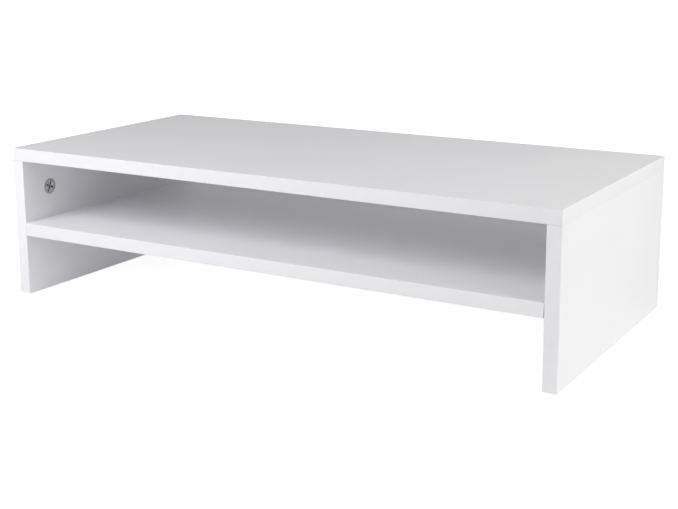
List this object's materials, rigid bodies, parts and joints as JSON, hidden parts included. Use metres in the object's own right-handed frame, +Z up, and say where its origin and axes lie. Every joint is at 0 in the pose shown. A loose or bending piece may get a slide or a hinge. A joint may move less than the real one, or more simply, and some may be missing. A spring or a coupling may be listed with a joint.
{
  "type": "monitor riser stand",
  "caption": "Low two-tier desk riser: a flat top on two side boards with a shelf between them, joined by blind cam locks, to raise a monitor and store things below.",
  "frame": {"origin": "centre of the footprint, on the desk surface", "axes": "+X to the right along the width, +Y to the back, +Z up; the open front faces -Y"},
  "size_m": [0.54, 0.255, 0.14],
  "materials": {
    "melamine_chipboard": "satin",
    "edge_band": "satin",
    "die_cast_zinc": "satin",
    "plated_steel": "satin",
    "beech": "matte"
  },
  "bodies": {
    "stand": {"top_board": "melamine_chipboard", "shelf_board": "melamine_chipboard", "left_side_board": "melamine_chipboard", "right_side_board": "melamine_chipboard", "top_band_left": "edge_band", "top_band_right": "edge_band", "top_band_front": "edge_band", "top_band_back": "edge_band", "shelf_band_front": "edge_band", "shelf_band_back": "edge_band", "left_side_band_front": "edge_band", "left_side_band_back": "edge_band", "right_side_band_front": "edge_band", "right_side_band_back": "edge_band", "cam_bolt_top_left_front": "plated_steel", "cam_bolt_top_left_back": "plated_steel", "cam_bolt_top_right_front": "plated_steel", "cam_bolt_top_right_back": "plated_steel", "cam_bolt_shelf_left_front": "plated_steel", "cam_bolt_shelf_left_back": "plated_steel", "cam_bolt_shelf_right_front": "plated_steel", "cam_bolt_shelf_right_back": "plated_steel", "dowel_top_left_front": "beech", "dowel_top_left_back": "beech", "dowel_top_right_front": "beech", "dowel_top_right_back": "beech", "dowel_shelf_left_front": "beech", "dowel_shelf_left_back": "beech", "dowel_shelf_right_front": "beech", "dowel_shelf_right_back": "beech"},
    "cam_top_left_front": {"cam_lock_top_left_front": "die_cast_zinc"},
    "cam_top_left_back": {"cam_lock_top_left_back": "die_cast_zinc"},
    "cam_top_right_front": {"cam_lock_top_right_front": "die_cast_zinc"},
    "cam_top_right_back": {"cam_lock_top_right_back": "die_cast_zinc"},
    "cam_shelf_left_front": {"cam_lock_shelf_left_front": "die_cast_zinc"},
    "cam_shelf_left_back": {"cam_lock_shelf_left_back": "die_cast_zinc"},
    "cam_shelf_right_front": {"cam_lock_shelf_right_front": "die_cast_zinc"},
    "cam_shelf_right_back": {"cam_lock_shelf_right_back": "die_cast_zinc"}
  },
  "joints": [
    {"name": "cam_turn_top_left_front", "type": "hinge", "parent": "stand", "child": "cam_top_left_front", "pos_m": [-0.264, -0.0935, 0.099], "axis": [1, 0, 0], "range_deg": [0, 190]},
    {"name": "cam_turn_top_left_back", "type": "hinge", "parent": "stand", "child": "cam_top_left_back", "pos_m": [-0.264, 0.0935, 0.099], "axis": [1, 0, 0], "range_deg": [0, 190]},
    {"name": "cam_turn_top_right_front", "type": "hinge", "parent": "stand", "child": "cam_top_right_front", "pos_m": [0.264, -0.0935, 0.099], "axis": [-1, 0, 0], "range_deg": [0, 190]},
    {"name": "cam_turn_top_right_back", "type": "hinge", "parent": "stand", "child": "cam_top_right_back", "pos_m": [0.264, 0.0935, 0.099], "axis": [-1, 0, 0], "range_deg": [0, 190]},
    {"name": "cam_turn_shelf_left_front", "type": "hinge", "parent": "stand", "child": "cam_shelf_left_front", "pos_m": [-0.229, -0.0935, 0.063], "axis": [0, 0, -1], "range_deg": [0, 190]},
    {"name": "cam_turn_shelf_left_back", "type": "hinge", "parent": "stand", "child": "cam_shelf_left_back", "pos_m": [-0.229, 0.0935, 0.063], "axis": [0, 0, -1], "range_deg": [0, 190]},
    {"name": "cam_turn_shelf_right_front", "type": "hinge", "parent": "stand", "child": "cam_shelf_right_front", "pos_m": [0.229, -0.0935, 0.063], "axis": [0, 0, -1], "range_deg": [0, 190]},
    {"name": "cam_turn_shelf_right_back", "type": "hinge", "parent": "stand", "child": "cam_shelf_right_back", "pos_m": [0.229, 0.0935, 0.063], "axis": [0, 0, -1], "range_deg": [0, 190]}
  ]
}
